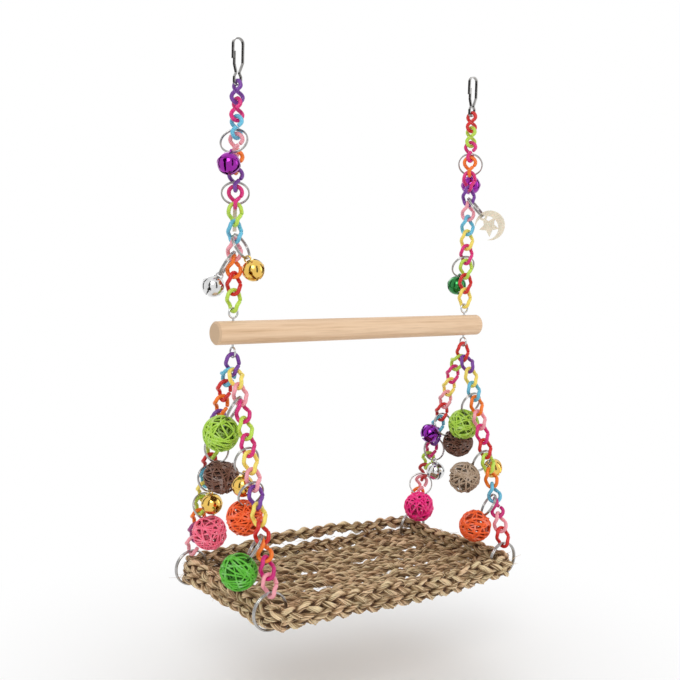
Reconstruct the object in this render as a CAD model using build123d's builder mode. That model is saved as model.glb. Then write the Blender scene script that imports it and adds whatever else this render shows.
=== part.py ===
"""Hanging bird swing: a wooden perch on two link chains, with a seagrass mat slung below it.

Rings along the chains carry jingle bells, vine balls and star charms.
The origin is midway between the two hooks, on the line where a cage bar bears.
X runs along the perch, -Y faces the front and Z points up.
"""
import os
from math import acos, asin, atan2, cos, degrees, pi, radians, sin, sqrt, tan

from build123d import *

# Perch
perch_length = 280.0
perch_diameter = 18.6
perch_chamfer = 1.4
chain_inset = 16.5

# Snap hooks, bent from flat spring strip
hook_reach = 34.6
hook_width = 9.6
hook_strip = 0.9
hook_depth = 2.8
hook_waist = 2.8
hook_eye_width = 6.8
hook_bend = 1.2
gate_play = 0.35

# Twisted plastic links
link_length = 20.0
link_width = 13.4
link_wire = 3.2
link_slit = 0.8
link_twist_height = 9.2
link_gap = 0.25

# Screw eyes
eye_outside = 9.4
eye_wire = 1.6
eye_neck = 1.5
eye_shank = 1.8
eye_depth = 7.0
eye_play = 0.05

# Split rings that carry the toys
ring_outside = 22.5
ring_wire = 1.2
ring_gap = 0.25

# Split rings at the corners of the mat
corner_ring_outside = 30.6
corner_ring_wire = 1.7
corner_ring_inset = 13.0

# Jingle bells
bell_diameter = 17.5
bell_wall = 0.6
bell_slot = 1.7
bell_slot_end = 3.2
bell_seam_height = 0.9
bell_seam_proud = 0.35
bell_loop_inside = 3.8
bell_loop_wire = 1.3
bell_loop_rise = 0.9
pellet_diameter = 6.0

# Vine balls
ball_diameter = 29.0
ball_ring_sink = 2.8
ball_ring_play = 0.15

# Star charms on a crescent
charm_diameter = 27.0
charm_thickness = 3.0
charm_hole = 3.4
charm_hole_wall = 1.7

# Seagrass mat
mat_overhang = 7.0
mat_depth = 150.0
rim_rope = 11.0
rim_corner = 6.2
rim_stack = 9.5
floor_rope = 9.4
floor_web = 5.0
floor_drop = 1.2
notch_play = 1.0

# Free space between pieces
seat_gap = 0.3
toy_gap = 0.5
overrun = 1.0

# Counts, angles and shares
leg_first_lean = 40.0
hook_nose_share = 0.4335
hook_shoulder_share = 0.520
hook_waist_share = 0.737
hook_eye_share = 0.821
gate_tip_share = 0.2745
gate_knee_share = 0.549
coil_share = 0.92
bight_share = 0.97
toy_swing = 10.0
star_points = 5
star_tip_share = 0.70
star_valley_share = 0.34
star_offset_share = 0.08
crescent_bore_share = 0.80
crescent_offset_share = 0.28
bell_hole_share = 0.30
floor_pitch_share = 0.94
step_share = 0.02

# Turn of each link about its chain, from the top down, in degrees
upper_left_turns = [0, 0, 20, 40, 47, 53, 60, 82, 104, 125, 140, 115, 90]
upper_right_turns = [0, 0, 20, 41, 70, 100, 125, 112, 99, 87, 75, 82, 90]
front_left_turns = [90, 110, 130, 117, 103, 92, 90, 90, 110, 130, 148, 119, 90]
rear_left_turns = [90, 90, 90, 90, 90, 90, 90, 90, 90, 90, 90, 90, 90]
front_right_turns = [90, 90, 90, 90, 90, 90, 90, 90, 110, 130, 148, 119, 90]
rear_right_turns = [90, 90, 90, 90, 90, 90, 90, 78, 60, 45, 45, 68, 90]

# Angle of each toy round its ring, from the lowest point, where two toys share a ring
toy_angles = {
    "front_right_grey_ball": 45,
    "front_right_gold_bell": -60,
    "rear_right_brown_ball": -35,
    "rear_right_plum_bell": 70,
}

# What hangs on the links of each chain, from the top down: the side that the ring leans to, then its toys
bare = []
chain_toys = {
    "upper_left": [bare] * 3
    + [["left", "upper_left_purple_bell"], bare, bare]
    + [["right", "upper_left_star_charm"], bare, bare]
    + [["left", "upper_left_gold_bell"], ["right", "upper_left_silver_bell"]],
    "upper_right": [bare] * 3
    + [["right", "upper_right_purple_bell"], bare, bare]
    + [["left", "upper_right_star_charm"], bare, bare, bare]
    + [["right", "upper_right_green_bell"]],
    "front_left": [bare] * 2
    + [["right", "front_left_lime_ball"], bare, bare]
    + [["right", "front_left_gold_bell"], bare]
    + [["right", "front_left_orange_ball"], bare, bare]
    + [["right", "front_left_green_ball"]],
    "rear_left": [bare] * 5
    + [["left", "rear_left_brown_ball"], bare]
    + [["left", "rear_left_gold_bell"], bare]
    + [["left", "rear_left_pink_ball"]],
    "front_right": [bare] * 3
    + [["right", "front_right_lime_ball"], bare, bare, bare]
    + [["right", "front_right_grey_ball", "front_right_gold_bell"], bare, bare]
    + [["right", "front_right_orange_ball"]],
    "rear_right": [bare] * 5
    + [["left", "rear_right_brown_ball", "rear_right_plum_bell"], bare]
    + [["left", "rear_right_silver_bell"], bare, bare]
    + [["left", "rear_right_magenta_ball"]],
}
hangings = []
for chain, links in chain_toys.items():
    for index, ring_toys in enumerate(links):
        if ring_toys:
            side = 1 if ring_toys[0] == "right" else -1
            toys = [(name, name.split("_")[-1], toy_angles.get(name, 0)) for name in ring_toys[1:]]
            hangings.append((chain, index, side, toys))

# Values worked out from the sizes above
chain_spacing = perch_length - 2 * chain_inset
half_spacing = chain_spacing / 2
mat_length = chain_spacing + 2 * mat_overhang
corner_ring_reach = mat_depth / 2 - corner_ring_inset
upper_link_count = len(upper_left_turns)
lower_link_count = len(front_left_turns)
link_span = link_length - link_wire
link_pitch = link_span - link_wire - link_gap
link_bow = (link_width - link_wire) / 2
link_half_leg = link_span / 2 - link_bow
hook_seat = sqrt(hook_depth**2 + hook_strip**2) / 2 + seat_gap + link_wire / 2
hook_nose_drop = hook_reach * hook_nose_share
hook_shoulder_drop = hook_reach * hook_shoulder_share
hook_waist_drop = hook_reach * hook_waist_share
hook_eye_drop = hook_reach * hook_eye_share
gate_tip_drop = hook_reach * gate_tip_share
gate_knee_drop = hook_reach * gate_knee_share
upper_top = hook_seat - hook_reach
upper_end = upper_top - link_span - (upper_link_count - 1) * link_pitch
eye_seat = (link_wire + eye_wire) / 2 + seat_gap
eye_radius = (eye_outside - eye_wire) / 2
eye_rise = perch_diameter / 2 + eye_neck + eye_outside / 2
perch_height = upper_end + eye_seat - eye_radius - eye_rise
pair_top = perch_height - eye_rise - eye_radius + eye_seat
pair_bow_height = pair_top - link_span + link_bow
pair_half = (link_wire + link_gap) / 2
pair_room = link_bow - link_wire - seat_gap / 2
leg_top = pair_bow_height - sqrt(max(pair_room**2 - pair_half**2, 0))
bow_run = link_span - link_bow
bow_room = link_bow - link_wire - link_gap
first_reach = pair_half + bow_run * sin(radians(leg_first_lean))
first_bow_height = leg_top - bow_run * cos(radians(leg_first_lean))
leg_run = bow_room + (lower_link_count - 2) * link_pitch + bow_run
leg_lean = degrees(asin((corner_ring_reach - first_reach) / leg_run))
leg_bow_height = first_bow_height - leg_run * cos(radians(leg_lean))
second_reach = first_reach + bow_room * sin(radians(leg_lean))
second_top = first_bow_height - bow_room * cos(radians(leg_lean))
ring_radius = (ring_outside - ring_wire) / 2
ring_half_axial = ring_wire / 2 * (1 + coil_share)
ring_seat = link_wire / 2 + ring_half_axial + ring_gap
corner_radius = (corner_ring_outside - corner_ring_wire) / 2
corner_half_axial = corner_ring_wire / 2 * (1 + coil_share)
corner_seat = (link_wire + corner_ring_wire) / 2 + seat_gap + link_gap
corner_height = leg_bow_height - link_bow + corner_seat - corner_radius
rim_height = corner_height - corner_radius + corner_ring_wire / 2 + seat_gap + rim_rope / 2
floor_height = rim_height - floor_drop
charm_boss = charm_hole / 2 + charm_hole_wall
bell_half = bell_diameter / 2 + bell_seam_proud
bell_drop = ring_radius + bell_loop_inside / 2 - ring_half_axial + bell_loop_rise + bell_diameter / 2
ball_drop = ring_radius + ball_diameter / 2 - ball_ring_sink
charm_drop = ring_radius + charm_hole / 2 - ring_half_axial + charm_diameter / 2 - charm_boss
toy_drops = {"bell": bell_drop, "ball": ball_drop, "charm": charm_drop}
toy_halves = {"bell": bell_half, "ball": ball_diameter / 2, "charm": charm_diameter / 2}


def arc_middle(end, tangent, reach, joint):
    """Middle of the arc from end to joint that leaves end along the tangent."""
    corner = end + tangent * reach
    chord_middle = (end + joint) * (1 / 2)
    half_chord = (joint - end).length / 2
    half_turn = acos(min(half_chord / reach, 1))
    return chord_middle + (corner - chord_middle).normalized() * half_chord * tan(half_turn / 2)


def tangent_arcs(points, tangents):
    """Pairs of arcs that join the points smoothly, each as its start, middle and end."""
    arcs = []
    for index in range(len(points) - 1):
        start, end = points[index], points[index + 1]
        leaving, arriving = tangents[index], tangents[index + 1]
        step = end - start
        bend = 1 - leaving.dot(arriving)
        along = step.dot(leaving + arriving)
        reach = step.dot(step) / (along + sqrt(along**2 + 2 * bend * step.dot(step)))
        joint = (start + leaving * reach + end - arriving * reach) * (1 / 2)
        arcs.append((start, arc_middle(start, leaving, reach, joint), joint))
        arcs.append((joint, arc_middle(end, -arriving, reach, joint), end))
    return arcs


def make_tube(points, tangents, diameter):
    """Round tube along smoothly joined arcs through the points."""
    with BuildPart() as tube:
        with BuildLine():
            for start, middle, end in tangent_arcs(points, tangents):
                ThreePointArc(start, middle, end)
        with BuildSketch(Plane(origin=points[0], z_dir=tangents[0])):
            Circle(diameter / 2)
        sweep()
    return tube.part


def link_point(run):
    """Point on a link's centre line, by the run down from the middle of its slit leg."""
    bow_run = pi * link_bow
    rising = link_half_leg + bow_run
    over = rising + 2 * link_half_leg
    falling = over + bow_run
    if run < link_half_leg:
        across, height = -link_bow, -run
    elif run < rising:
        angle = (run - link_half_leg) / link_bow
        across, height = -link_bow * cos(angle), -link_half_leg - link_bow * sin(angle)
    elif run < over:
        across, height = link_bow, run - rising - link_half_leg
    elif run < falling:
        angle = (run - over) / link_bow
        across, height = link_bow * cos(angle), link_half_leg + link_bow * sin(angle)
    else:
        across, height = -link_bow, link_half_leg - (run - falling)
    share = min(max(height / link_twist_height + 1 / 2, 0), 1)
    turn = pi / 2 * share**2 * (3 - 2 * share)
    return Vector(across * cos(turn), across * sin(turn), height)


def make_link():
    """Oval link twisted by a quarter turn, with a slit in one leg."""
    bow_half_run = pi / 2 * link_bow
    runs = [0]
    for stretch in (link_half_leg, bow_half_run, bow_half_run, link_half_leg) * 2:
        runs.append(runs[-1] + stretch)
    runs[0] = link_slit / 2
    runs[-1] = runs[-1] - link_slit / 2
    step = link_bow * step_share
    points = [link_point(run) for run in runs]
    tangents = [(link_point(run + step) - link_point(run - step)).normalized() for run in runs]
    return make_tube(points, tangents, link_wire)


def make_ring(radius, wire):
    """Two close coils of a split ring, about the X axis."""
    with BuildPart() as ring:
        with BuildSketch(Plane.XZ):
            with Locations((coil_share * wire / 2, radius), (-coil_share * wire / 2, radius)):
                Circle(wire / 2)
        revolve(axis=Axis.X)
    return ring.part


def make_ball():
    """Vine ball with a tunnel where its ring passes under the outer strands."""
    with BuildPart() as ball:
        Sphere(ball_diameter / 2)
        with Locations(Location((0, 0, ball_drop), (0, 90, 0))):
            Torus(ring_radius, ring_half_axial + ball_ring_play, mode=Mode.SUBTRACT)
    return ball.part


def make_bell_loop():
    """Wire loop that stands on a bell."""
    with BuildPart() as loop:
        with Locations(Location((0, 0, bell_diameter / 2 + bell_loop_rise), (90, 0, 0))):
            Torus((bell_loop_inside + bell_loop_wire) / 2, bell_loop_wire / 2)
        Sphere((bell_diameter - bell_wall) / 2, mode=Mode.SUBTRACT)
    return loop.part


def make_bell(loop):
    """Round bell shell with crossed slots below, its loop, and a loose pellet inside."""
    radius = bell_diameter / 2
    hole_height = -radius * bell_hole_share
    with BuildPart() as bell:
        Sphere(radius)
        Cylinder(radius + bell_seam_proud, bell_seam_height)
        Sphere(radius - bell_wall, mode=Mode.SUBTRACT)
        for plane in (Plane.XZ, Plane.YZ):
            with BuildSketch(plane):
                with Locations((0, hole_height)):
                    Circle(bell_slot_end / 2)
                    Rectangle(bell_slot, radius + overrun, align=(Align.CENTER, Align.MAX))
            extrude(amount=radius + overrun, both=True, mode=Mode.SUBTRACT)
        add(loop)
        with Locations((0, 0, bell_wall + seat_gap + pellet_diameter / 2 - radius)):
            Sphere(pellet_diameter / 2)
    return bell.part


def make_charm():
    """Flat star held in a crescent, with a bored boss at the top."""
    radius = charm_diameter / 2
    tips = []
    for index in range(2 * star_points):
        angle = pi / 2 + index * pi / star_points
        share = star_valley_share if index % 2 else star_tip_share
        tips.append((radius * (star_offset_share + share * cos(angle)), radius * share * sin(angle)))
    with BuildPart() as charm:
        with BuildSketch(Plane.XZ):
            Circle(radius)
            with Locations((radius * crescent_offset_share, 0)):
                Circle(radius * crescent_bore_share, mode=Mode.SUBTRACT)
            Polygon(*tips, align=None)
            with Locations((0, radius - charm_boss)):
                Circle(charm_boss)
                Circle(charm_hole / 2, mode=Mode.SUBTRACT)
        extrude(amount=charm_thickness / 2, both=True)
    return charm.part


def link_places(top, lean, turns):
    """Places of a chain's links, hung from the middle of the first link's upper wire."""
    down = Vector(0, sin(radians(lean)), -cos(radians(lean)))
    places = []
    for index, turn in enumerate(turns):
        centre = top + down * (link_span / 2 + index * link_pitch)
        places.append(Location(centre, (lean, 0, turn)))
    return places


def ring_lean(toys):
    """Angle by which a ring leans off its chain so that its toys clear the links."""
    lean = 0
    for name, kind, angle in toys:
        spread = radians(max(abs(angle) - toy_swing, 0))
        aside = toy_drops[kind] * sin(spread)
        depth = ring_radius + toy_drops[kind] * cos(radians(angle))
        clear = link_width / 2 + toy_halves[kind] + toy_gap
        lean = max(lean, degrees(asin(sqrt(max(clear**2 - aside**2, 0)) / depth)))
    return lean


def ring_place(link_place, lean, turn, side, toys):
    """Place of a ring's top on the bow of its link, swung so that the toys hang at rest."""
    rest = degrees(atan2(-cos(radians(turn)) * sin(radians(lean)), cos(radians(lean))))
    on_bow = Location((0, 0, link_half_leg), (rest, 0, 0))
    return link_place * on_bow * Location((0, 0, link_bow + ring_seat), (0, -side * ring_lean(toys), 0))


def save(part, name):
    """Name a piece and write it out."""
    part.label = name
    export_step(part, f"parts/{name}.step")


def save_copies(form, places, name):
    """Write out copies of one form as one piece."""
    with BuildPart() as copies:
        with Locations(*places):
            add(form)
    save(copies.part, name)


os.makedirs("parts", exist_ok=True)

# Forms that are used more than once
link = make_link()
ball = make_ball()
toy_ring = make_ring(ring_radius, ring_wire)
corner_ring = make_ring(corner_radius, corner_ring_wire)
bell = make_bell(make_bell_loop())
charm = make_charm()

# Snap hooks
side_reach = (hook_width - hook_strip) / 2
eye_reach = (hook_eye_width - hook_strip) / 2
waist_reach = hook_waist / 2
hook_line = [
    (-side_reach, -hook_nose_drop),
    (-side_reach, hook_strip / 2),
    (side_reach, hook_strip / 2),
    (side_reach, -hook_shoulder_drop),
    (waist_reach, -hook_waist_drop),
    (eye_reach, -hook_eye_drop),
    (eye_reach, -hook_reach),
    (-eye_reach, -hook_reach),
    (-eye_reach, -hook_eye_drop),
    (-waist_reach, -hook_waist_drop),
]
bight = side_reach * bight_share
eye_bend = eye_reach * bight_share
hook_bends = [bight, bight, hook_bend, hook_bend, hook_bend, eye_bend, eye_bend, hook_bend]
with BuildPart() as hook:
    with BuildSketch(Plane.XZ):
        with BuildLine():
            FilletPolyline(*hook_line, radius=hook_bends)
        trace(line_width=hook_strip)
    extrude(amount=hook_depth / 2, both=True)
save_copies(hook.part, [(-half_spacing, 0, 0), (half_spacing, 0, 0)], "snap_hooks")

# Sprung gates of the hooks, each from the waist up to behind the nose
gate_reach = side_reach - hook_strip - gate_play
gate_line = [
    (-waist_reach, gate_play - hook_waist_drop),
    (-gate_reach, -gate_knee_drop),
    (-gate_reach, -gate_tip_drop),
]
with BuildPart() as gate:
    with BuildSketch(Plane.XZ):
        with BuildLine():
            FilletPolyline(*gate_line, radius=hook_bend)
        trace(line_width=hook_strip)
    extrude(amount=hook_depth / 2, both=True)
save_copies(gate.part, [(-half_spacing, 0, 0)], "left_hook_gate")
save_copies(gate.part, [(half_spacing, 0, 0)], "right_hook_gate")

# Chains: the first link of each lower chain leans out further than the rest, to clear its twin
chains = {
    "upper_left": (-half_spacing, 0, 0, upper_left_turns),
    "upper_right": (half_spacing, 0, 0, upper_right_turns),
    "front_left": (-half_spacing, -1, -leg_lean, front_left_turns),
    "rear_left": (-half_spacing, 1, leg_lean, rear_left_turns),
    "front_right": (half_spacing, -1, -leg_lean, front_right_turns),
    "rear_right": (half_spacing, 1, leg_lean, rear_right_turns),
}
places = {}
for name, (across, way, lean, turns) in chains.items():
    if way == 0:
        places[name] = link_places(Vector(across, 0, upper_top), lean, turns)
    else:
        first_top = Vector(across, way * pair_half, leg_top)
        rest_top = Vector(across, way * second_reach, second_top)
        first = link_places(first_top, way * leg_first_lean, turns[:1])
        places[name] = first + link_places(rest_top, lean, turns[1:])
for name in ("upper_left", "upper_right"):
    save_copies(link, places[name][:1], f"{name}_top_link")
    save_copies(link, places[name][1:], f"{name}_chain")
for name in ("front_left", "rear_left", "front_right", "rear_right"):
    save_copies(link, places[name], f"{name}_chain")
for name, across in (("lower_left", -half_spacing), ("lower_right", half_spacing)):
    save_copies(link, [Location((across, 0, pair_top - link_span / 2), (0, 0, 90))], f"{name}_top_link")

# Perch with pilot holes for the screw eyes
pilot_depth = eye_depth + eye_play
with BuildPart() as perch:
    with Locations(Location((0, 0, perch_height), (0, 90, 0))):
        Cylinder(perch_diameter / 2, perch_length)
    chamfer(perch.edges(), length=perch_chamfer)
    for across in (-half_spacing, half_spacing):
        for up in (1, -1):
            with Locations((across, 0, perch_height + up * (perch_diameter - pilot_depth) / 2)):
                Cylinder(eye_shank / 2 + eye_play, pilot_depth, mode=Mode.SUBTRACT)
save(perch.part, "perch_dowel")

# Screw eyes: flat to the front above the perch, edge to the front below it
with BuildPart() as screw_eye:
    with Locations(Location((0, 0, eye_rise), (90, 0, 0))):
        Torus(eye_radius, eye_wire / 2)
    with Locations((0, 0, perch_diameter / 2 - eye_depth)):
        Cylinder(
            eye_shank / 2,
            eye_depth + eye_neck + eye_wire / 2,
            align=(Align.CENTER, Align.CENTER, Align.MIN),
        )
eye_places = []
for across in (-half_spacing, half_spacing):
    eye_places.append(Location((across, 0, perch_height)))
    eye_places.append(Location((across, 0, perch_height), (180, 0, 90)))
save_copies(screw_eye.part, eye_places, "screw_eyes")

# Rings at the corners of the mat
corner_places = []
for across in (-half_spacing, half_spacing):
    for along in (-corner_ring_reach, corner_ring_reach):
        corner_places.append(Location((across, along, corner_height), (0, 0, 90)))
save_copies(corner_ring, corner_places, "corner_rings")

# Mat rim: two ropes stacked round the edge
rim_length = mat_length - rim_rope
rim_depth = mat_depth - rim_rope
with BuildSketch() as rim_outline:
    RectangleRounded(rim_length, rim_depth, rim_corner)
with BuildPart() as rim_loop:
    with BuildSketch(Plane(origin=(0, rim_depth / 2, 0), z_dir=(1, 0, 0))):
        Circle(rim_rope / 2)
    sweep(path=rim_outline.face().outer_wire())
save_copies(rim_loop.part, [(0, 0, rim_height), (0, 0, rim_height + rim_stack)], "mat_rim")

# Mat floor: rope rows along the perch, with notches for the corner rings
floor_length = rim_length - rim_rope - seat_gap
floor_depth = rim_depth - rim_rope - seat_gap
row_count = round((floor_depth - floor_rope) / (floor_rope * floor_pitch_share)) + 1
row_pitch = (floor_depth - floor_rope) / (row_count - 1)
notch_inner = corner_radius + corner_ring_wire / 2 + notch_play
notch_width = 2 * (corner_half_axial + notch_play)
with BuildPart() as floor:
    with BuildSketch(Plane.YZ):
        with GridLocations(row_pitch, row_pitch, row_count, 1):
            Circle(floor_rope / 2)
        Rectangle(floor_depth - floor_rope, floor_web)
    extrude(amount=floor_length / 2, both=True)
    with Locations(
        (half_spacing, corner_ring_reach, 0),
        (half_spacing, -corner_ring_reach, 0),
        (-half_spacing, corner_ring_reach, 0),
        (-half_spacing, -corner_ring_reach, 0),
    ):
        Box(2 * notch_inner, notch_width, floor_rope + overrun, mode=Mode.SUBTRACT)
save_copies(floor.part, [(0, 0, floor_height)], "mat_floor")

# Rings and toys along the chains
toy_parts = {"bell": bell, "ball": ball, "charm": charm}
for chain, index, side, toys in hangings:
    across, way, lean, turns = chains[chain]
    hang = ring_place(places[chain][index], lean, turns[index], side, toys)
    centre = hang * Location((0, 0, -ring_radius))
    save_copies(toy_ring, [centre], f"{toys[0][0]}_ring")
    for name, kind, angle in toys:
        drop = Location((0, 0, 0), (angle, 0, 0)) * Location((0, 0, -toy_drops[kind]))
        save_copies(toy_parts[kind], [centre * drop], name)
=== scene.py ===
"""Looks of the hanging bird swing: coloured links, vine balls, bells, rings, perch and seagrass mat."""
import math
import random
from collections import namedtuple

import bpy
from mathutils import Matrix, Vector, noise


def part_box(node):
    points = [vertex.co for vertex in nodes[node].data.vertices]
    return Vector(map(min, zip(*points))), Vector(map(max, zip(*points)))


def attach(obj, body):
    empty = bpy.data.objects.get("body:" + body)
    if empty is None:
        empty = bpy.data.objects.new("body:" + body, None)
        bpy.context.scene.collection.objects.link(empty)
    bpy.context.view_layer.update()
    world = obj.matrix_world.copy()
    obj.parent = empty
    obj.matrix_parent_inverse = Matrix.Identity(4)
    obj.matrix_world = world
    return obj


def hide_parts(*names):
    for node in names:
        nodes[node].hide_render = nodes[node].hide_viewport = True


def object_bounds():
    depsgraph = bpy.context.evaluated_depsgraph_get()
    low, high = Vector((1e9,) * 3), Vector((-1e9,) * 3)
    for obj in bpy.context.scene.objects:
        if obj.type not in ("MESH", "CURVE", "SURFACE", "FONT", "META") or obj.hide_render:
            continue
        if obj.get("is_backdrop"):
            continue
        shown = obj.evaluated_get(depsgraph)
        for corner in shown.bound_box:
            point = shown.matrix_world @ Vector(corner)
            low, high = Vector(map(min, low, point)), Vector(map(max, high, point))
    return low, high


MM = 0.001

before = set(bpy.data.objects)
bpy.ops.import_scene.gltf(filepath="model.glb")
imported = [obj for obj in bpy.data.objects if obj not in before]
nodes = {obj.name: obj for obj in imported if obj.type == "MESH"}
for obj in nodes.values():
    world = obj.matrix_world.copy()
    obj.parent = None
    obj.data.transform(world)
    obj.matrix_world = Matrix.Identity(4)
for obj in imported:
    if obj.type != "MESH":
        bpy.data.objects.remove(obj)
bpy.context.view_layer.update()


# Materials

def new_material(name):
    mat = bpy.data.materials.new(name)
    mat.use_nodes = True
    tree = mat.node_tree
    tree.nodes.clear()
    out = tree.nodes.new("ShaderNodeOutputMaterial")
    shader = tree.nodes.new("ShaderNodeBsdfPrincipled")
    tree.links.new(shader.outputs["BSDF"], out.inputs["Surface"])
    return mat, tree, shader


def add_node(tree, kind, **values):
    node = tree.nodes.new(kind)
    for key, value in values.items():
        if key in node.inputs:
            node.inputs[key].default_value = value
        else:
            setattr(node, key, value)
    return node


def object_noise(tree, scale, detail=4.0, rough=0.55, stretch=(1, 1, 1)):
    place = tree.nodes.new("ShaderNodeTexCoord")
    mapping = tree.nodes.new("ShaderNodeMapping")
    mapping.inputs["Scale"].default_value = stretch
    tex = add_node(tree, "ShaderNodeTexNoise", Scale=scale, Detail=detail, Roughness=rough)
    tree.links.new(place.outputs["Object"], mapping.inputs["Vector"])
    tree.links.new(mapping.outputs["Vector"], tex.inputs["Vector"])
    return tex


def ramp(tree, source, stops):
    node = tree.nodes.new("ShaderNodeValToRGB")
    elements = node.color_ramp.elements
    while len(elements) < len(stops):
        elements.new(0.5)
    for element, (place, colour) in zip(elements, stops):
        element.position = place
        element.color = (*colour, 1.0)
    tree.links.new(source, node.inputs["Fac"])
    return node


def value_range(tree, source, low, high):
    node = add_node(tree, "ShaderNodeMapRange")
    node.inputs["To Min"].default_value = low
    node.inputs["To Max"].default_value = high
    tree.links.new(source, node.inputs["Value"])
    return node.outputs["Result"]


def bump(tree, shader, height, strength, distance):
    node = add_node(tree, "ShaderNodeBump", Strength=strength, Distance=distance)
    tree.links.new(height, node.inputs["Height"])
    tree.links.new(node.outputs["Normal"], shader.inputs["Normal"])


def shade(colour, factor):
    return tuple(min(1.0, c * factor) for c in colour)


def plastic(name, colour):
    """Moulded link plastic: soft gloss, faint mottling and handling marks."""
    mat, tree, shader = new_material(name)
    mottle = object_noise(tree, scale=160.0, detail=5.0)
    tint = ramp(tree, mottle.outputs["Fac"], [(0.3, shade(colour, 0.86)), (0.7, shade(colour, 1.06))])
    tree.links.new(tint.outputs["Color"], shader.inputs["Base Color"])
    marks = object_noise(tree, scale=900.0, detail=3.0)
    tree.links.new(value_range(tree, marks.outputs["Fac"], 0.22, 0.42), shader.inputs["Roughness"])
    bump(tree, shader, marks.outputs["Fac"], strength=0.06, distance=0.0003)
    shader.inputs["Subsurface Weight"].default_value = 0.12
    shader.inputs["Subsurface Radius"].default_value = (0.004, 0.002, 0.002)
    shader.inputs["Subsurface Scale"].default_value = 0.5
    return mat


def metal(name, colour, rough, dark=0.85, scale=260.0, coat=0.0):
    """Plated or lacquered metal with fine handling marks."""
    mat, tree, shader = new_material(name)
    cloud = object_noise(tree, scale=scale, detail=6.0)
    tint = ramp(tree, cloud.outputs["Fac"], [(0.35, shade(colour, dark)), (0.65, colour)])
    tree.links.new(tint.outputs["Color"], shader.inputs["Base Color"])
    shader.inputs["Metallic"].default_value = 1.0
    wear = value_range(tree, cloud.outputs["Fac"], rough * 0.7, rough * 1.5)
    tree.links.new(wear, shader.inputs["Roughness"])
    fine = object_noise(tree, scale=1400.0, detail=2.0)
    bump(tree, shader, fine.outputs["Fac"], strength=0.05, distance=0.0002)
    shader.inputs["Coat Weight"].default_value = coat
    shader.inputs["Coat Roughness"].default_value = 0.08
    return mat


def vine(name, colour):
    """Dyed vine strand: fine streaks, uneven dye and a dull skin."""
    mat, tree, shader = new_material(name)
    dye = object_noise(tree, scale=210.0, detail=5.0)
    tint = ramp(
        tree,
        dye.outputs["Fac"],
        [(0.28, shade(colour, 0.82)), (0.5, colour), (0.75, tuple(c + (1 - c) * 0.24 for c in colour))],
    )
    tree.links.new(tint.outputs["Color"], shader.inputs["Base Color"])
    skin = object_noise(tree, scale=1700.0, detail=4.0)
    tree.links.new(value_range(tree, skin.outputs["Fac"], 0.45, 0.75), shader.inputs["Roughness"])
    bump(tree, shader, skin.outputs["Fac"], strength=0.25, distance=0.0004)
    return mat


def seagrass(name, light, middle, dark):
    """Dry twisted grass: streaks along each fibre, and fibres from straw to brown by their own tint and by
    painted shade that darkens them deep in the plait.
    """
    mat, tree, shader = new_material(name)
    strand = tree.nodes.new("ShaderNodeAttribute")
    strand.attribute_name = "strand"
    mapping = tree.nodes.new("ShaderNodeMapping")
    mapping.inputs["Scale"].default_value = (0.22, 2.4, 60.0)
    tree.links.new(strand.outputs["Vector"], mapping.inputs["Vector"])
    streak = add_node(tree, "ShaderNodeTexNoise", Scale=1.0, Detail=5.0, Roughness=0.65)
    tree.links.new(mapping.outputs["Vector"], streak.inputs["Vector"])
    parts = tree.nodes.new("ShaderNodeSeparateXYZ")
    tree.links.new(strand.outputs["Vector"], parts.inputs["Vector"])
    # The fibre tint holds painted shade, so the ramp's dark end shows mostly as painted shade in the plaits'
    # depths.
    fibre_tint_and_shade = ramp(tree, parts.outputs["Z"], [(0.06, dark), (0.38, middle), (0.74, light)])
    streak_tint = ramp(tree, streak.outputs["Fac"], [(0.24, (0.52, 0.42, 0.33)), (0.56, (1.0, 1.0, 1.0))])
    mix = add_node(tree, "ShaderNodeMix", data_type="RGBA", blend_type="MULTIPLY")
    mix.inputs["Factor"].default_value = 0.85
    tree.links.new(fibre_tint_and_shade.outputs["Color"], mix.inputs["A"])
    tree.links.new(streak_tint.outputs["Color"], mix.inputs["B"])
    patches = object_noise(tree, scale=70.0, detail=3.0)
    patch_tint = ramp(tree, patches.outputs["Fac"], [(0.38, (1.0, 0.95, 0.90)), (0.62, (0.93, 0.99, 0.91))])
    patched = add_node(tree, "ShaderNodeMix", data_type="RGBA", blend_type="MULTIPLY")
    patched.inputs["Factor"].default_value = 1.0
    tree.links.new(mix.outputs["Result"], patched.inputs["A"])
    tree.links.new(patch_tint.outputs["Color"], patched.inputs["B"])
    tree.links.new(patched.outputs["Result"], shader.inputs["Base Color"])
    tree.links.new(value_range(tree, streak.outputs["Fac"], 0.55, 0.85), shader.inputs["Roughness"])
    bump(tree, shader, streak.outputs["Fac"], strength=0.6, distance=0.0006)
    return mat


PITH_SHIFT = (0, 0.006, 0.238)


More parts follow.
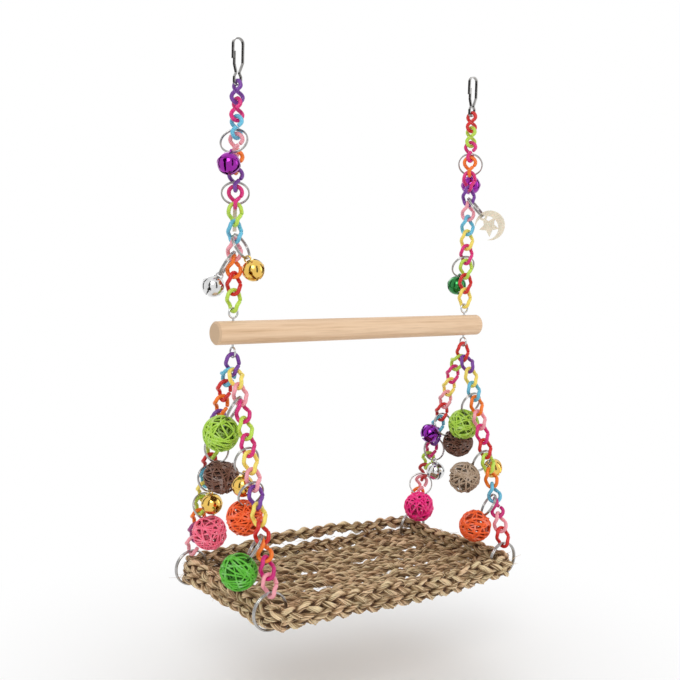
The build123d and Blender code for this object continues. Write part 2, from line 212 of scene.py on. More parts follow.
def wood(name):
    """Pale sanded dowel: long grain along X, growth rings on the ends."""
    mat, tree, shader = new_material(name)
    grain = object_noise(tree, scale=60.0, detail=7.0, rough=0.6, stretch=(0.35, 9.0, 9.0))
    streak = object_noise(tree, scale=22.0, detail=3.0, rough=0.5, stretch=(0.25, 6.0, 6.0))
    base = ramp(
        tree,
        grain.outputs["Fac"],
        [(0.25, (0.64, 0.43, 0.26)), (0.5, (0.82, 0.58, 0.38)), (0.75, (0.90, 0.67, 0.46))],
    )
    broad = ramp(tree, streak.outputs["Fac"], [(0.35, (0.86, 0.80, 0.72)), (0.6, (1.0, 1.0, 1.0))])
    mix = add_node(tree, "ShaderNodeMix", data_type="RGBA", blend_type="MULTIPLY")
    mix.inputs["Factor"].default_value = 0.7
    tree.links.new(base.outputs["Color"], mix.inputs["A"])
    tree.links.new(broad.outputs["Color"], mix.inputs["B"])
    place = tree.nodes.new("ShaderNodeTexCoord")
    pith = tree.nodes.new("ShaderNodeMapping")
    pith.inputs["Location"].default_value = PITH_SHIFT
    tree.links.new(place.outputs["Object"], pith.inputs["Vector"])
    growth = add_node(
        tree, "ShaderNodeTexWave", wave_type="RINGS", rings_direction="X", Scale=260.0, Distortion=1.6
    )
    tree.links.new(pith.outputs["Vector"], growth.inputs["Vector"])
    end_tint = ramp(tree, growth.outputs["Fac"], [(0.1, (0.50, 0.34, 0.20)), (0.9, (0.64, 0.45, 0.29))])
    facing = tree.nodes.new("ShaderNodeSeparateXYZ")
    tree.links.new(place.outputs["Normal"], facing.inputs["Vector"])
    end_share = add_node(tree, "ShaderNodeMath", operation="ABSOLUTE")
    tree.links.new(facing.outputs["X"], end_share.inputs[0])
    whole = add_node(tree, "ShaderNodeMix", data_type="RGBA")
    tree.links.new(end_share.outputs["Value"], whole.inputs["Factor"])
    tree.links.new(mix.outputs["Result"], whole.inputs["A"])
    tree.links.new(end_tint.outputs["Color"], whole.inputs["B"])
    tree.links.new(whole.outputs["Result"], shader.inputs["Base Color"])
    tree.links.new(value_range(tree, grain.outputs["Fac"], 0.42, 0.62), shader.inputs["Roughness"])
    bump(tree, shader, grain.outputs["Fac"], strength=0.18, distance=0.0005)
    return mat


LINK_COLOURS = {
    "purple": (0.19, 0.045, 0.34),
    "hotpink": (0.72, 0.02, 0.20),
    "blue": (0.14, 0.52, 0.72),
    "pink": (0.90, 0.36, 0.42),
    "orange": (0.93, 0.20, 0.012),
    "lime": (0.52, 0.74, 0.085),
    "red": (0.66, 0.02, 0.018),
    "yellow": (0.93, 0.74, 0.14),
    "magenta": (0.62, 0.012, 0.19),
    "mauve": (0.36, 0.06, 0.22),
    "darkred": (0.48, 0.018, 0.02),
}
link_mats = {name: plastic("link_" + name, colour) for name, colour in LINK_COLOURS.items()}
steel = metal("ring_nickel", (0.50, 0.485, 0.47), rough=0.14, dark=0.75)
gunmetal = metal("hook_nickel", (0.36, 0.35, 0.34), rough=0.16, dark=0.7)
eye_metal = metal("eye_zinc", (0.68, 0.68, 0.68), rough=0.2)
bell_mats = {
    "purple": metal("bell_purple", (0.36, 0.015, 0.40), rough=0.14, dark=0.8, coat=0.4),
    "plum": metal("bell_plum", (0.27, 0.015, 0.40), rough=0.14, dark=0.8, coat=0.4),
    "gold": metal("bell_gold", (0.90, 0.58, 0.13), rough=0.12, dark=0.85, coat=0.2),
    "silver": metal("bell_silver", (0.78, 0.78, 0.78), rough=0.12, dark=0.85, coat=0.2),
    "green": metal("bell_green", (0.02, 0.23, 0.05), rough=0.16, dark=0.8, coat=0.4),
}
BALL_COLOURS = {
    "lime": (0.42, 0.68, 0.06),
    "green": (0.11, 0.50, 0.03),
    "orange": (0.98, 0.13, 0.018),
    "pink": (0.99, 0.16, 0.27),
    "brown": (0.17, 0.07, 0.042),
    "grey": (0.43, 0.31, 0.21),
    "magenta": (0.98, 0.012, 0.26),
}
# Each ball colour has its own material and a copy darkened to 0.6, painted shade for the strands deep inside
# the ball
ball_mats = {
    name: [vine("vine_" + name, colour), vine("vine_shaded_inner_" + name, shade(colour, 0.6))]
    for name, colour in BALL_COLOURS.items()
}
cream = plastic("charm_cream", (0.78, 0.70, 0.55))
# The dark colour shows mainly as painted shade: on the dark middle tube and on the fibres deepest in the
# plaits.
grass = seagrass("seagrass", light=(1.0, 0.78, 0.53), middle=(0.50, 0.315, 0.165), dark=(0.085, 0.034, 0.010))
perch_wood = wood("perch_wood")


# Meshes

def tube_rings(points, radii, sides, closed=False, tint_and_shade=None):
    """Vertices and faces of a tube along points, and for each vertex the run, the angle and the tint, which
    for the mat's plaits also holds painted shade.
    """
    count = len(points)
    tangents = []
    for i in range(count):
        before = points[(i - 1) % count] if closed or i > 0 else points[i]
        after = points[(i + 1) % count] if closed or i < count - 1 else points[i]
        tangents.append((after - before).normalized())
    side = tangents[0].orthogonal().normalized()
    verts, faces, marks = [], [], []
    run = 0.0
    for i in range(count):
        if i:
            run += (points[i] - points[i - 1]).length
            side = tangents[i - 1].rotation_difference(tangents[i]) @ side
        side = (side - tangents[i] * side.dot(tangents[i])).normalized()
        up = tangents[i].cross(side)
        for k in range(sides):
            angle = 2 * math.pi * k / sides
            verts.append(points[i] + (side * math.cos(angle) + up * math.sin(angle)) * radii[i])
            marks.append((run / MM, abs(angle - math.pi), tint_and_shade[i] if tint_and_shade else 0.5))
    last = count if closed else count - 1
    for i in range(last):
        a, b = i * sides, (i + 1) % count * sides
        for k in range(sides):
            n = (k + 1) % sides
            faces.append((a + k, a + n, b + n, b + k))
    if not closed:
        faces.append(tuple(range(sides))[::-1])
        faces.append(tuple((count - 1) * sides + k for k in range(sides)))
    return verts, faces, marks


class Collector:
    """Gathers tubes into one mesh."""

    def __init__(self):
        self.verts, self.faces, self.marks, self.slots = [], [], [], []

    def add(self, verts, faces, marks, slot=0):
        base = len(self.verts)
        self.verts.extend(verts)
        self.faces.extend(tuple(v + base for v in face) for face in faces)
        self.marks.extend(marks)
        self.slots.extend([slot] * len(faces))

    def make(self, name, materials):
        mesh = bpy.data.meshes.new(name)
        mesh.from_pydata([tuple(v) for v in self.verts], [], self.faces)
        for mat in materials:
            mesh.materials.append(mat)
        mesh.polygons.foreach_set("material_index", self.slots)
        mesh.polygons.foreach_set("use_smooth", [True] * len(self.faces))
        strand = mesh.attributes.new("strand", "FLOAT_VECTOR", "POINT")
        strand.data.foreach_set("vector", [c for mark in self.marks for c in mark])
        mesh.update()
        obj = bpy.data.objects.new(name, mesh)
        bpy.context.scene.collection.objects.link(obj)
        return obj


# Links: sizes in millimetres

LINK_LENGTH = 20.0
LINK_WIDTH = 13.4
LINK_WIRE = 3.2
LINK_SLIT = 0.8
LINK_GAP = 0.25
SEAT_GAP = 0.3
TWIST_HEIGHT = 9.2
LINK_STEPS = 64
LINK_SIDES = 16
TIP_RUNS = (0.0, 0.05, 0.25)
TIP_SHARES = (0.72, 0.86, 0.97)
TIP_LENGTH = 0.7
UPPER_LINKS = 13
LOWER_LINKS = 13
HOOK_REACH = 34.6
HOOK_STRIP_WIDTH = 2.8
HOOK_STRIP_THICKNESS = 0.9
EYE_WIRE = 1.6
EYE_RADIUS = 3.9
EYE_RISE = 15.5
HALF_SPACING = 123.5
CORNER_REACH = 62.0
FIRST_LEAN = math.radians(40)

BOW = (LINK_WIDTH - LINK_WIRE) / 2
SPAN = LINK_LENGTH - LINK_WIRE
PITCH = SPAN - LINK_WIRE - LINK_GAP
HALF_LEG = SPAN / 2 - BOW
BOW_ROOM = BOW - LINK_WIRE - LINK_GAP


def link_point(run):
    """Point on a link's centre line, at a run from the middle of its slit."""
    bow_run = math.pi * BOW
    rising = HALF_LEG + bow_run
    over = rising + 2 * HALF_LEG
    falling = over + bow_run
    if run < HALF_LEG:
        across, height = -BOW, -run
    elif run < rising:
        angle = (run - HALF_LEG) / BOW
        across, height = -BOW * math.cos(angle), -HALF_LEG - BOW * math.sin(angle)
    elif run < over:
        across, height = BOW, run - rising - HALF_LEG
    elif run < falling:
        angle = (run - over) / BOW
        across, height = BOW * math.cos(angle), HALF_LEG + BOW * math.sin(angle)
    else:
        across, height = -BOW, HALF_LEG - (run - falling)
    share = min(max(height / TWIST_HEIGHT + 0.5, 0), 1)
    turn = math.pi / 2 * share**2 * (3 - 2 * share)
    return Vector((across * math.cos(turn), across * math.sin(turn), height))


def link_tube():
    """One link: round wire with softly rounded ends at the slit."""
    whole = 2 * math.pi * BOW + 4 * HALF_LEG
    start, end = LINK_SLIT / 2, whole - LINK_SLIT / 2
    first, last = start + TIP_LENGTH, end - TIP_LENGTH
    middle_runs = [first + (last - first) * i / LINK_STEPS for i in range(LINK_STEPS + 1)]
    runs = [start + run for run in TIP_RUNS] + middle_runs + [end - run for run in reversed(TIP_RUNS)]
    shares = [*TIP_SHARES, *[1.0] * len(middle_runs), *reversed(TIP_SHARES)]
    points = [link_point(run) * MM for run in runs]
    return tube_rings(points, [share * LINK_WIRE / 2 * MM for share in shares], LINK_SIDES)


LINK_TUBE = link_tube()

# Heights and leans of the chains, from the hooks down to the mat's corner rings

hook_seat = math.hypot(HOOK_STRIP_WIDTH, HOOK_STRIP_THICKNESS) / 2 + SEAT_GAP + LINK_WIRE / 2
upper_top = hook_seat - HOOK_REACH
upper_end = upper_top - SPAN - (UPPER_LINKS - 1) * PITCH
eye_seat = (LINK_WIRE + EYE_WIRE) / 2 + SEAT_GAP
perch_height = upper_end + eye_seat - EYE_RADIUS - EYE_RISE
pair_top = perch_height - EYE_RISE - EYE_RADIUS + eye_seat
pair_bow = pair_top - SPAN + BOW
pair_half = (LINK_WIRE + LINK_GAP) / 2
leg_top = pair_bow - math.sqrt(max((BOW - LINK_WIRE - SEAT_GAP / 2) ** 2 - pair_half**2, 0))
bow_run = SPAN - BOW
first_reach = pair_half + bow_run * math.sin(FIRST_LEAN)
first_bow = leg_top - bow_run * math.cos(FIRST_LEAN)
leg_lean = math.asin((CORNER_REACH - first_reach) / (BOW_ROOM + (LOWER_LINKS - 2) * PITCH + bow_run))
second_reach = first_reach + BOW_ROOM * math.sin(leg_lean)
second_top = first_bow - BOW_ROOM * math.cos(leg_lean)


def link_frames(top, lean, turns):
    """Places of links in a row from top, leaning towards the back by lean."""
    down = Vector((0, math.sin(lean), -math.cos(lean)))
    return [
        Matrix.Translation(top + down * (SPAN / 2 + i * PITCH))
        @ Matrix.Rotation(lean, 4, "X")
        @ Matrix.Rotation(math.radians(turn), 4, "Z")
        for i, turn in enumerate(turns)
    ]


TURNS = {
    "upper_left": [0, 0, 20, 40, 47, 53, 60, 82, 104, 125, 140, 115, 90],
    "upper_right": [0, 0, 20, 41, 70, 100, 125, 112, 99, 87, 75, 82, 90],
    "front_left": [90, 110, 130, 117, 103, 92, 90, 90, 110, 130, 148, 119, 90],
    "rear_left": [90] * 13,
    "front_right": [90, 90, 90, 90, 90, 90, 90, 90, 110, 130, 148, 119, 90],
    "rear_right": [90, 90, 90, 90, 90, 90, 90, 78, 60, 45, 45, 68, 90],
}
ORDER = {
    "upper_left": "purple hotpink blue pink orange purple hotpink lime blue pink orange red lime",
    "upper_right": "red lime hotpink orange hotpink purple pink blue yellow hotpink lime red yellow",
    "front_left": "yellow pink hotpink lime hotpink yellow pink purple yellow red orange magenta pink",
    "rear_left": "blue red orange purple hotpink lime red blue yellow lime orange mauve pink",
    "front_right": "purple yellow blue orange pink hotpink red lime orange blue magenta pink red",
    "rear_right": "lime hotpink yellow pink red blue purple hotpink lime darkred pink orange magenta",
}


def link_object(name, frames, colours, body, node):
    """One mesh of coloured links, in place of a node."""
    palette = sorted(set(colours))
    gather = Collector()
    verts, faces, marks = LINK_TUBE
    for place, colour in zip(frames, colours):
        shift = Matrix.Translation(place.translation * MM) @ place.to_quaternion().to_matrix().to_4x4()
        gather.add([shift @ v for v in verts], faces, marks, palette.index(colour))
    obj = gather.make(name, [link_mats[colour] for colour in palette])
    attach(obj, body)
    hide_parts(node)


for chain, order in ORDER.items():
    colours = order.split()
    across = -HALF_SPACING if chain.endswith("left") else HALF_SPACING
    side = chain.split("_")[1]
    if chain.startswith("upper"):
        frames = link_frames(Vector((across, 0, upper_top)), 0.0, TURNS[chain])
        link_object(chain + "_link_1", frames[:1], colours[:1], chain + "_first", chain + "_top_link")
        link_object(chain + "_links_2_13", frames[1:], colours[1:], chain + "_links", chain + "_chain")
    else:
        way = -1 if chain.startswith("front") else 1
        first_top = Vector((across, way * pair_half, leg_top))
        next_top = Vector((across, way * second_reach, second_top))
        frames = link_frames(first_top, way * FIRST_LEAN, TURNS[chain][:1])
        frames += link_frames(next_top, way * leg_lean, TURNS[chain][1:])
        link_object(chain + "_links", frames, colours, side + "_legs", chain + "_chain")
for side, across, colour in (("left", -HALF_SPACING, "purple"), ("right", HALF_SPACING, "red")):
    frames = link_frames(Vector((across, 0, pair_top)), 0.0, [90])
    link_object(f"lower_{side}_link", frames, [colour], f"lower_{side}_first", f"lower_{side}_top_link")


# Vine balls: thin strands wound round in every direction, sizes in millimetres

LOOP_STEPS = 56
LOOP_SIDES = 7
LOOP_WAVE = 0.12
FIRST_SEED = 11
INNER_LOOPS = 16
INNER_REACH = 11.6
INNER_LEVEL = 0.35
INNER_THICKNESS = (0.55, 0.75)
INNER_DIP = 1.5
OUTER_LOOPS = 25
OUTER_REACH = 14.6
OUTER_LEVEL = 0.5
OUTER_THICKNESS = (0.62, 0.86)
OUTER_DIP = (0.2, 2.2)


def random_turn(source):
    axis = Vector((source.gauss(0, 1), source.gauss(0, 1), source.gauss(0, 1))).normalized()
    return Matrix.Rotation(source.uniform(0, 2 * math.pi), 3, axis)


def vine_loop(source, centre, reach, thick, level, dip):
    """One strand round the ball: a wavy circle off the ball's middle."""
    turn = random_turn(source)
    waves = source.choice((1, 2, 2, 3))
    phase = source.uniform(0, 2 * math.pi)
    points = []
    for i in range(LOOP_STEPS):
        angle = 2 * math.pi * i / LOOP_STEPS
        lift = level + LOOP_WAVE * math.sin(waves * angle + phase)
        flat = math.sqrt(max(1 - lift * lift, 0.05))
        radius = reach - thick - dip * (0.5 + 0.5 * math.sin(3 * angle + phase))
        direction = Vector((flat * math.cos(angle), flat * math.sin(angle), lift)).normalized()
        points.append(turn @ (direction * radius) + centre)
    return tube_rings(points, [thick] * LOOP_STEPS, LOOP_SIDES, closed=True)


def vine_ball(name, centre, materials, body, node, seed):
    """A ball of strands: ones deep inside in a darker copy of the colour as painted shade, brighter ones over
    them.
    """
    source = random.Random(seed)
    gather = Collector()
    for _ in range(INNER_LOOPS):
        level = source.uniform(-INNER_LEVEL, INNER_LEVEL)
        thick = source.uniform(*INNER_THICKNESS) * MM
        gather.add(*vine_loop(source, centre, INNER_REACH * MM, thick, level, INNER_DIP * MM), 1)
    for _ in range(OUTER_LOOPS):
        level = source.uniform(-OUTER_LEVEL, OUTER_LEVEL)
        thick = source.uniform(*OUTER_THICKNESS) * MM
        dip = source.uniform(*OUTER_DIP) * MM
        gather.add(*vine_loop(source, centre, OUTER_REACH * MM, thick, level, dip), 0)
    obj = gather.make(name, materials)
    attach(obj, body)
    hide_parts(node)


ball_nodes = [node for node in sorted(nodes) if node.endswith("_ball")]
for seed, node in enumerate(ball_nodes, FIRST_SEED):
    low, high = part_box(node)
    centre = (Vector(low) + Vector(high)) / 2
    tone = node.split("_")[-2]
    vine_ball(node + "_vines", centre, ball_mats[tone], "toy_" + node, node, seed)


# Seagrass mat: sizes in millimetres

MAT_LENGTH = 261.0
MAT_DEPTH = 150.0
RIM_ROPE = 11.0
RIM_CORNER = 6.2
RIM_COURSES = ((4.9, 0.25), (14.9, -0.3))
REAR_LIFT = 4.0
REAR_COURSE_LIFT = 3.0
FRONT_SAG = 3.0
ROWS = 14
ROW_INSET = 3.7
ROW_CUT = -1.6
END_ROW_CUT = 11.0
ROW_SAG = 4.0
ROW_PITCH_SPREAD = 5.0
STRANDS = 3
FIBRES = 8
FIBRE_SIDES = 5
FIBRE_TWIST = 26.0
FIBRE_LAY = (0.64, 0.96)
FIBRE_SHARE = (0.20, 0.34)
FIBRE_TINTS = (0.3, 0.5, 0.7, 0.85, 0.95, 1.0)
# Size and sides of the dark middle tube, painted shade between the plaited ropes
SHADE_CORE_SHARE = 0.8
SHADE_CORE_SIDES = 6
BRAID_STEP = 1.4
RIM_HALF_X = (MAT_LENGTH - RIM_ROPE) / 2
RIM_HALF_Y = (MAT_DEPTH - RIM_ROPE) / 2
RIM_RUN = 4 * (RIM_HALF_X + RIM_HALF_Y - 2 * RIM_CORNER) + 2 * math.pi * RIM_CORNER

Plait = namedtuple("Plait", "pitch wide tall thick tone")
# tone scales a plait's fibre tint as painted shade: the floor plaits are darkened as if shaded, the rim
# plaits a little lightened
FLOOR_PLAIT = Plait(pitch=41.0, wide=3.2, tall=1.5, thick=1.75, tone=0.8)
RIM_PLAIT = Plait(pitch=44.0, wide=3.9, tall=1.9, thick=2.1, tone=1.08)

rim_low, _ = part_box("mat_rim")
floor_low, floor_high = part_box("mat_floor")
rim_bottom = rim_low[2] / MM
floor_middle = (floor_low[2] + floor_high[2]) / 2 / MM


def rim_path(run):
    """Point and outward direction on the rim's rounded rectangle."""
    straight_x, straight_y = 2 * (RIM_HALF_X - RIM_CORNER), 2 * (RIM_HALF_Y - RIM_CORNER)
    arc = math.pi / 2 * RIM_CORNER
    run = run % RIM_RUN
    corner_signs = ((1, -1), (1, 1), (-1, 1), (-1, -1))
    for quarter, (sign_x, sign_y) in enumerate(corner_signs):
        straight = straight_x if quarter % 2 == 0 else straight_y
        heading = quarter * math.pi / 2
        along = Vector((math.cos(heading), math.sin(heading)))
        out = Vector((along.y, -along.x))
        if run <= straight:
            middle = Vector((out.x * RIM_HALF_X, out.y * RIM_HALF_Y))
            return middle + along * (run - straight / 2), out
        run -= straight
        if run <= arc:
            angle = run / RIM_CORNER
            pivot = Vector((sign_x * (RIM_HALF_X - RIM_CORNER), sign_y * (RIM_HALF_Y - RIM_CORNER)))
            spin = out * math.cos(angle) + along * math.sin(angle)
            return pivot + spin * RIM_CORNER, spin
        run -= arc
    return rim_path(0.0)


def wander(value, seed_value, size):
    """A slow drift along a rope, up to size."""
    return size * noise.noise(Vector((value * 0.03, seed_value * 7.31, 0.5)))


def braid(gather, place, whole, plait, closed, seed_value):
    """Three ropes plaited along a path round a dark middle tube that is painted shade in the gaps between
    them, each twisted from loose grass fibres.

    place gives the middle of the plait, its wide direction and its thin direction.
    """
    source = random.Random(seed_value)
    pitch, wide, tall, thick, tone = plait
    count = int(whole / BRAID_STEP)
    if closed:
        pitch = whole / round(whole / pitch)
    total = count + (0 if closed else 1)
    runs = [whole * i / count for i in range(total)]
    places = [place(run) for run in runs]
    shade_core = [middle * MM for middle, _, _ in places]
    # Painted shade: a dark tube at tint 0, the darkest stop of the grass ramp, along the middle of the plait
    gather.add(*tube_rings(shade_core, [thick * SHADE_CORE_SHARE * MM] * total, SHADE_CORE_SIDES, closed, [0.0] * total))
    twists = round(whole / FIBRE_TWIST)
    for strand in range(STRANDS):
        spots = []
        for run, (middle, side, thin) in zip(runs, places):
            drift = 0.05 * noise.noise(Vector((run * 0.05, seed_value, 3)))
            angle = 2 * math.pi * (run / pitch + strand / STRANDS + drift)
            spots.append(middle + side * (wide * math.sin(angle)) + thin * (tall * math.sin(2 * angle)))
        for fibre in range(FIBRES):
            points, radii, tint_and_shade = [], [], []
            lay, fat = source.uniform(*FIBRE_LAY), source.uniform(*FIBRE_SHARE)
            own_tint = source.choice(FIBRE_TINTS)
            offset = source.uniform(0, 50)
            for i, spot in enumerate(spots):
                middle, side, thin = places[i]
                before = spots[(i - 1) % total if closed else max(i - 1, 0)]
                after = spots[(i + 1) % total if closed else min(i + 1, total - 1)]
                along = (after - before).normalized()
                first = (thin - along * thin.dot(along)).normalized()
                second = along.cross(first)
                angle = 2 * math.pi * (fibre / FIBRES + twists * runs[i] / whole)
                loose = lay * (1 + 0.4 * noise.noise(Vector((runs[i] * 0.14, offset, strand))))
                swell = 1 + 0.3 * noise.noise(Vector((runs[i] * 0.2, offset + 9, strand)))
                point = spot + (first * math.cos(angle) + second * math.sin(angle)) * (thick * loose)
                # Painted shade and light: a fibre is darkened the deeper it lies inside the plait, and kept
                # light on the plait's outer faces and edges.
                away = point - middle
                above = abs(away.dot(thin)) / (tall + thick * 0.7)
                beside = 0.75 * abs(away.dot(side)) / (wide + thick)
                painted_light_share = min(max(1.6 * max(above, beside) - 0.25, 0.06), 1.0)
                points.append(point * MM)
                radii.append(thick * fat * swell * MM)
                # Tint of a fibre point: painted shade of its plait (tone), its own colour (own_tint) and the
                # painted depth shade
                tint_and_shade.append(tone * own_tint * painted_light_share)
            gather.add(*tube_rings(points, radii, FIBRE_SIDES, closed, tint_and_shade))


def floor_row(row, across, cut, row_length):
    """The path of one floor row, sagging a little towards the middle of the mat."""

    def place(run):
        x = -row_length / 2 + cut + run
        y = across + wander(x, seed_value=1, size=2.6) + wander(x, seed_value=row + 2, size=1.0)
        sag = ROW_SAG * (1 - (2 * x / row_length) ** 2) * (1 - (2 * across / MAT_DEPTH) ** 2)
        z = floor_middle - sag + wander(run, seed_value=row + 40, size=4.0) + 0.7 * math.sin(row * 2.1)
        tip = 0.3 * math.sin(row * 1.7) + wander(run, seed_value=row + 70, size=0.6)
        wide_way = Vector((0, math.cos(tip), math.sin(tip)))
        thin_way = Vector((0, -math.sin(tip), math.cos(tip)))
        return Vector((x, y, z)), wide_way, thin_way

    return place


def rim_course(course, height, lean_out):
    """The path of one rim course: arched up at the rear and sagging at the front."""

    def place(run):
        flat, out = rim_path(run)
        flat = flat + out * wander(run, seed_value=80 + course, size=2.0)
        lift = wander(run, seed_value=90 + course, size=3.2 if course else 2.2)
        middle_share = 1 - (2 * flat.x / MAT_LENGTH) ** 2
        rear_lift = (REAR_LIFT + REAR_COURSE_LIFT * course) * max(out.y, 0)
        lift += middle_share * (rear_lift - FRONT_SAG * max(-out.y, 0))
        tip = lean_out + wander(run, seed_value=95 + course, size=0.5)
        wide_way = Vector((out.x * math.sin(tip), out.y * math.sin(tip), math.cos(tip)))
        thin_way = Vector((out.x * math.cos(tip), out.y * math.cos(tip), -math.sin(tip)))
        return Vector((flat.x, flat.y, rim_bottom + height + lift)), wide_way, thin_way

    return place


floor_rows = Collector()
row_length = (floor_high[0] - floor_low[0]) / MM
row_low, row_high = floor_low[1] / MM + ROW_INSET, floor_high[1] / MM - ROW_INSET
for row in range(ROWS):
    across = row_low + (row_high - row_low) * row / (ROWS - 1)
    cut = END_ROW_CUT if row in (0, ROWS - 1) else ROW_CUT
    plait = FLOOR_PLAIT._replace(pitch=FLOOR_PLAIT.pitch + ROW_PITCH_SPREAD * math.sin(row * 5.3))
    row_path = floor_row(row, across, cut, row_length)
    braid(floor_rows, row_path, row_length - 2 * cut, plait, closed=False, seed_value=row + 1)
floor_obj = floor_rows.make("mat_floor_braids", [grass])
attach(floor_obj, "mat")
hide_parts("mat_floor")

rim = Collector()
for course, (height, lean_out) in enumerate(RIM_COURSES):
    braid(rim, rim_course(course, height, lean_out), RIM_RUN, RIM_PLAIT, closed=True, seed_value=60 + course)
rim_obj = rim.make("mat_rim_braids", [grass])
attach(rim_obj, "mat")
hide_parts("mat_rim")


# Loose grass ends on the mat: sizes in millimetres

HAIRS = 680
HAIR_POINTS = 6
HAIR_SIDES = 4
HAIR_RADIUS = 0.24
HAIR_TAPER = 0.7
HAIR_LENGTH = (4, 13)
HAIR_BEND = 0.35
RIM_HAIR_SHARE = 0.62
FLOOR_HAIR_X = 112
FLOOR_HAIR_Y = 58

rng = random.Random(7)


def rim_hair():
    """Root and heading of a hair that leaves the rim sideways."""
    flat, out = rim_path(rng.uniform(0, RIM_RUN))
    root = Vector((flat.x, flat.y, rim_bottom + rng.uniform(3, 18)))
    out_way = Vector((out.x, out.y, 0)) * rng.choice((1, 1, -0.6))
    root = root + out_way.normalized() * rng.uniform(3.0, 4.6)
    along = Vector((-out.y, out.x, 0)) * rng.choice((-1, 1))
    heading = along + out_way * rng.uniform(0.1, 0.7) + Vector((0, 0, rng.uniform(-0.3, 0.5)))
    return root, heading.normalized()


def floor_hair():
    """Root and heading of a hair that lies along the floor rows."""
    x, y = rng.uniform(-FLOOR_HAIR_X, FLOOR_HAIR_X), rng.uniform(-FLOOR_HAIR_Y, FLOOR_HAIR_Y)
    root = Vector((x, y, floor_middle + rng.uniform(1.5, 4.2)))
    heading = Vector((rng.choice((-1, 1)), rng.uniform(-0.5, 0.5), rng.uniform(0.05, 0.45)))
    return root, heading.normalized()


fray = Collector()
hair_shares = [i / (HAIR_POINTS - 1) for i in range(HAIR_POINTS)]
hair_radii = [HAIR_RADIUS * MM * (1 - HAIR_TAPER * share) for share in hair_shares]
for _ in range(HAIRS):
    root, heading = rim_hair() if rng.random() < RIM_HAIR_SHARE else floor_hair()
    length = rng.uniform(*HAIR_LENGTH)
    bend = Vector((rng.uniform(-1, 1), rng.uniform(-1, 1), rng.uniform(-0.8, 0.4))) * HAIR_BEND
    points = [
        (root + heading * (length * share) + bend * (length * share * share)) * MM for share in hair_shares
    ]
    hair_tints = [rng.uniform(0.3, 1.0)] * HAIR_POINTS
    fray.add(*tube_rings(points, hair_radii, HAIR_SIDES, False, hair_tints))
fray_obj = fray.make("mat_fray", [grass])
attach(fray_obj, "mat")


# Materials of the carried-over nodes

def dress(node, material):
    """Gives a carried-over node its material."""
    obj = nodes[node]
    if not obj.material_slots:
        obj.data.materials.append(material)
    for holder in obj.material_slots:
        holder.material = material


for node in nodes:
    if node in ("snap_hooks", "left_hook_gate", "right_hook_gate"):
        dress(node, gunmetal)
    elif node == "screw_eyes":
        dress(node, eye_metal)
    elif node.endswith("_ring") or node == "corner_rings":
        dress(node, steel)
    elif node.endswith("_bell"):
        dress(node, bell_mats[node.split("_")[-2]])
    elif node.endswith("_charm"):
        dress(node, cream)
    elif node == "perch_dowel":
        dress(node, perch_wood)


# Stage, light and camera: sizes in metres

FLOOR = -0.53
FLOOR_HALF = 6
SHADOW_REACH = 0.10
FADE_REACH = 0.42
WORLD_LIGHT = 0.75
WORLD_SEEN = 1.0
CARDS = 5
CARD_DISTANCE = 1.1
CARD_HALF_WIDTH = 0.16
CARD_HALF_HEIGHT = 1
CARD_MIDDLE = -0.1
FIRST_CARD_BEARING = -70
CAMERA_AZIMUTH = math.radians(-36.65)
CAMERA_ELEVATION = math.radians(5.3)
CAMERA_ROLL = math.radians(1.59)
CAMERA_DISTANCE = 0.8568
CAMERA_LENS = 53.7
TARGET_X = -0.0189
TARGET_DROP = 0.0092


def pale(name, value):
    mat, _, shader = new_material(name)
    shader.inputs["Base Color"].default_value = (value, value, value, 1)
    shader.inputs["Roughness"].default_value = 0.9
    return mat


def seen_directly(tree):
    """1 for what the camera sees, straight or in metal, and 0 for light on other surfaces."""
    ray = tree.nodes.new("ShaderNodeLightPath")
    seen = ray.outputs["Is Camera Ray"]
    for kind in ("Is Glossy Ray", "Is Transmission Ray"):
        either = add_node(tree, "ShaderNodeMath", operation="MAXIMUM")
        tree.links.new(seen, either.inputs[0])
        tree.links.new(ray.outputs[kind], either.inputs[1])
        seen = either.outputs["Value"]
    return seen


def floor_material():
    """Pale floor that keeps the shadow near the object and fades to white further off."""
    mat = pale("stage_pale", 0.95)
    tree = mat.node_tree
    shader = next(node for node in tree.nodes if node.type == "BSDF_PRINCIPLED")
    out = next(node for node in tree.nodes if node.type == "OUTPUT_MATERIAL")
    white = add_node(tree, "ShaderNodeEmission", Color=(1, 1, 1, 1), Strength=1.0)
    place = tree.nodes.new("ShaderNodeTexCoord")
    flat = add_node(tree, "ShaderNodeVectorMath", operation="MULTIPLY")
    flat.inputs[1].default_value = (1, 1, 0)
    tree.links.new(place.outputs["Object"], flat.inputs[0])
    far = add_node(tree, "ShaderNodeVectorMath", operation="LENGTH")
    tree.links.new(flat.outputs["Vector"], far.inputs[0])
    fade = add_node(tree, "ShaderNodeMapRange", interpolation_type="SMOOTHSTEP")
    fade.inputs["From Min"].default_value = SHADOW_REACH
    fade.inputs["From Max"].default_value = FADE_REACH
    tree.links.new(far.outputs["Value"], fade.inputs["Value"])
    share = add_node(tree, "ShaderNodeMath", operation="MULTIPLY")
    tree.links.new(fade.outputs["Result"], share.inputs[0])
    tree.links.new(seen_directly(tree), share.inputs[1])
    mix = tree.nodes.new("ShaderNodeMixShader")
    tree.links.new(share.outputs["Value"], mix.inputs["Fac"])
    tree.links.new(shader.outputs["BSDF"], mix.inputs[1])
    tree.links.new(white.outputs["Emission"], mix.inputs[2])
    tree.links.new(mix.outputs["Shader"], out.inputs["Surface"])
    return mat


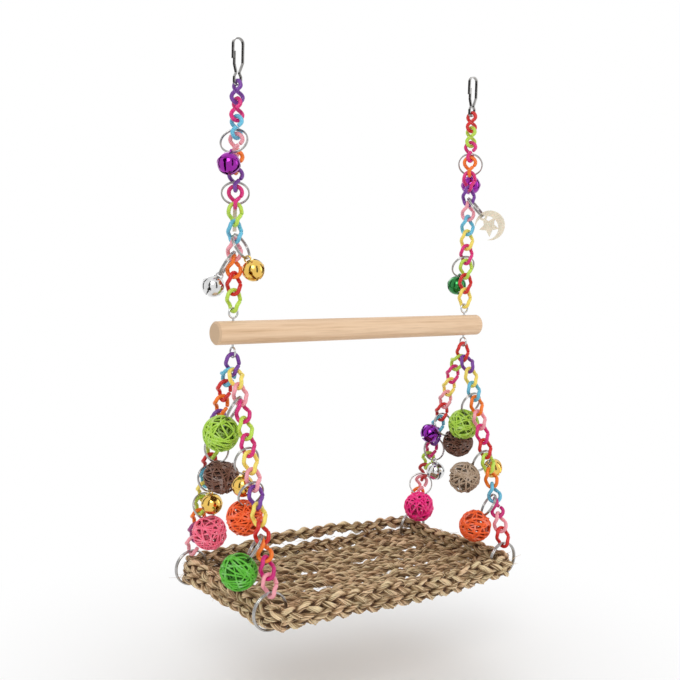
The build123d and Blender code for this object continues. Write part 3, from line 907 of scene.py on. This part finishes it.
SQUARE = ((-1, -1), (1, -1), (1, 1), (-1, 1))
floor_corners = [(x * FLOOR_HALF, y * FLOOR_HALF, FLOOR) for x, y in SQUARE]
floor_mesh = bpy.data.meshes.new("stage_floor")
floor_mesh.from_pydata(floor_corners, [], [(0, 1, 2, 3)])
floor_mesh.materials.append(floor_material())
stage_floor = bpy.data.objects.new("stage_floor", floor_mesh)
bpy.context.scene.collection.objects.link(stage_floor)
stage_floor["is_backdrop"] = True

world = bpy.data.worlds.new("studio")
world.use_nodes = True
backdrop = world.node_tree.nodes["Background"]
backdrop.inputs["Color"].default_value = (1.0, 1.0, 1.0, 1)
light_level = value_range(world.node_tree, seen_directly(world.node_tree), WORLD_LIGHT, WORLD_SEEN)
world.node_tree.links.new(light_level, backdrop.inputs["Strength"])
bpy.context.scene.world = world


def area_light(name, place, target, size, power):
    light = bpy.data.lights.new(name, "AREA")
    light.shape = "DISK"
    light.size = size
    light.energy = power
    obj = bpy.data.objects.new(name, light)
    obj.location = place
    obj.rotation_euler = (Vector(target) - Vector(place)).to_track_quat("-Z", "Y").to_euler()
    bpy.context.scene.collection.objects.link(obj)


area_light("key", place=(-0.9, -1.0, 0.7), target=(0, 0, -0.22), size=0.8, power=7)
area_light("fill", place=(1.3, -0.7, 0.2), target=(0, 0, -0.25), size=1.0, power=2.5)
area_light("back", place=(0.4, 1.3, 0.6), target=(0, 0, -0.2), size=1.0, power=4)

# Dark upright cards that show only as bands in polished metal

card_corners = [(x * CARD_HALF_WIDTH, 0, z * CARD_HALF_HEIGHT) for x, z in SQUARE]
card_mesh = bpy.data.meshes.new("studio_card")
card_mesh.from_pydata(card_corners, [], [(0, 1, 2, 3)])
card_mesh.materials.append(pale("card_dark", 0.02))
for number in range(CARDS):
    bearing = math.radians(FIRST_CARD_BEARING + 360 / CARDS * number)
    card = bpy.data.objects.new(f"studio_card_{number + 1}", card_mesh)
    card.location = (CARD_DISTANCE * math.sin(bearing), -CARD_DISTANCE * math.cos(bearing), CARD_MIDDLE)
    card.rotation_euler = (0, 0, bearing)
    card.visible_camera = False
    card.visible_diffuse = False
    card.visible_shadow = False
    bpy.context.scene.collection.objects.link(card)
    card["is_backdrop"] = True

camera_data = bpy.data.cameras.new("photo_view")
camera_data.sensor_width = 36.0
camera_data.lens = CAMERA_LENS
camera_data.clip_end = 20
camera = bpy.data.objects.new("photo_view", camera_data)
bpy.context.scene.collection.objects.link(camera)
target = Vector((TARGET_X, 0.0, perch_height * MM - TARGET_DROP))
flat_away = Vector((math.sin(CAMERA_AZIMUTH), -math.cos(CAMERA_AZIMUTH), 0))
away = flat_away * math.cos(CAMERA_ELEVATION) + Vector((0, 0, math.sin(CAMERA_ELEVATION)))
right = (-away).cross(Vector((0, 0, 1))).normalized()
up = right.cross(-away)
tilted_right = right * math.cos(CAMERA_ROLL) + up * math.sin(CAMERA_ROLL)
tilted_up = up * math.cos(CAMERA_ROLL) - right * math.sin(CAMERA_ROLL)
camera_turn = Matrix((tilted_right, tilted_up, away)).transposed().to_4x4()
camera.matrix_world = Matrix.Translation(target + away * CAMERA_DISTANCE) @ camera_turn
bpy.context.scene.camera = camera
bpy.context.scene.view_settings.view_transform = "Standard"

low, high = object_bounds()
